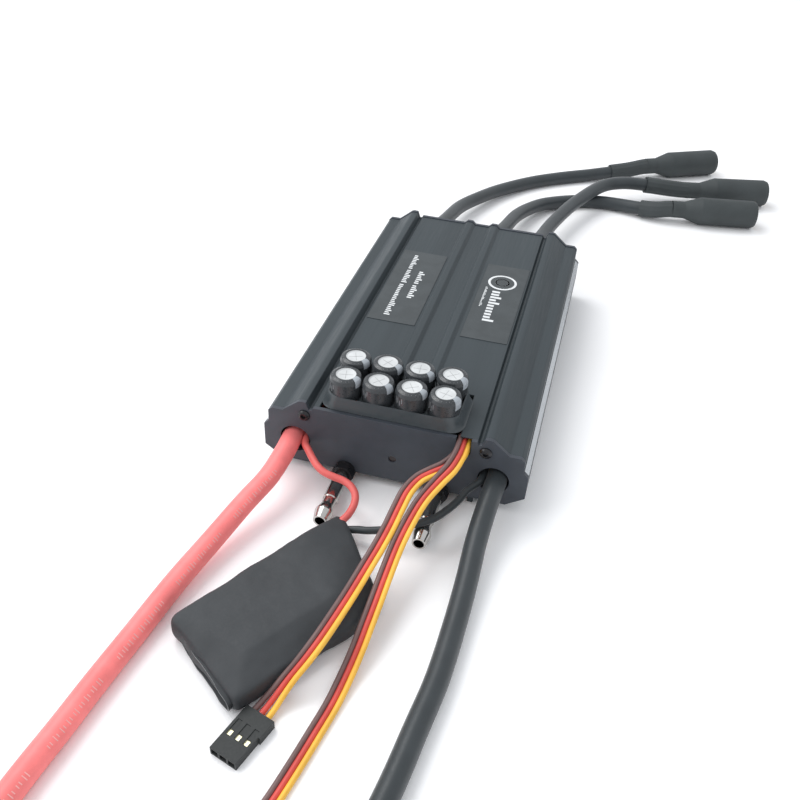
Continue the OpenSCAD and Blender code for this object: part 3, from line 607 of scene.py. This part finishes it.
in_pack = Matrix.Translation(mm((-13.5, -130, 0))) @ Matrix.Rotation(math.radians(-30.5), 4, "Z")
pouch = pack_skin()
rim = made("pouch_rim", pouch_rim, [SHRINK, PAINTED_LIP_HIGHLIGHT])
rim.matrix_world = in_pack
smooth_faces(rim.data, 40)
# The cut end faces get the painted highlight, a lighter line along the sleeve's lip
for face in rim.data.polygons:
    if face.center.y < -0.0205 and face.normal.y < -0.75:
        face.material_index = 1


LOOKS = {
    "front_plate_screws": BLACK_STEEL, "rear_plate_screws": BLACK_STEEL, "cooling_tube": COPPER,
    "left_nozzle": STEEL, "right_nozzle": STEEL, "thermal_pad": PAD, "mosfets": BLACK,
    "power_board": BOARD, "board_screws": STEEL, "positive_bus_bar": COPPER,
    "negative_bus_bar": COPPER, "phase_tabs": COPPER, "board_spacers": WHITE,
    "control_board": BOARD, "board_header": BLACK, "microcontroller": BLACK,
    "gate_drivers": BLACK, "regulator_coil": BLACK, "status_led": LENS, "servo_terminal": BLACK,
    "capacitor_board": BOARD, "capacitor_sleeves": SLEEVE,
    "lead_tips": TINNED, "motor_connector_1": GOLD, "motor_connector_2": GOLD,
    "motor_connector_3": GOLD, "motor_boot_1": BOOT, "motor_boot_2": BOOT,
    "motor_boot_3": BOOT, "pack_board": BOARD,
    "pack_capacitors": DIPPED, "servo_contacts": CONTACT,
}
for i in range(1, 9):
    LOOKS["capacitor_%d" % i] = CAN
for node, mat in LOOKS.items():
    dress(CAD[node], mat)

for i, (route, (tip, heading)) in enumerate(zip(MOTOR, TIPS), 1):
    way = Vector((math.cos(math.radians(heading)), math.sin(math.radians(heading)), 0))
    points = route + [Vector(tip) - d * way for d in (40, 29, 17)]
    o = round_cord("lead_motor_%d" % i, points, 6.2, RUBBER,
                   "motor_lead_%d" % i)


# ---------------------------------------------------------------- floor and light

floor_mesh = bpy.data.meshes.new("floor")
floor_mesh.from_pydata([(-6, -6, 0), (6, -6, 0), (6, 6, 0), (-6, 6, 0)], [], [(0, 1, 2, 3)])
floor = bpy.data.objects.new("floor", floor_mesh)
bpy.context.collection.objects.link(floor)
dress(floor, material("pale_floor", (0.90, 0.90, 0.905), 0.6, grain=60, rough_range=0.0, fine=0.0))


def softbox(name, spot, size, watts):
    light = bpy.data.lights.new(name, "AREA")
    light.shape = "RECTANGLE"
    light.size, light.size_y = size
    light.energy = watts
    o = bpy.data.objects.new(name, light)
    o.location = spot
    o.rotation_mode = "QUATERNION"
    o.rotation_quaternion = (-Vector(spot)).to_track_quat("-Z", "Y")
    bpy.context.collection.objects.link(o)


world = bpy.data.worlds.new("studio")
world.use_nodes = True
world.node_tree.nodes["Background"].inputs["Color"].default_value = (0.95, 0.97, 1, 1)
world.node_tree.nodes["Background"].inputs["Strength"].default_value = 0.9
bpy.context.scene.world = world
softbox("key", (-0.45, 0.25, 0.8), (0.5, 0.5), 4)
softbox("fill", (-0.7, -0.4, 0.6), (0.6, 0.6), 3)
bpy.context.scene.view_settings.view_transform = "Standard"
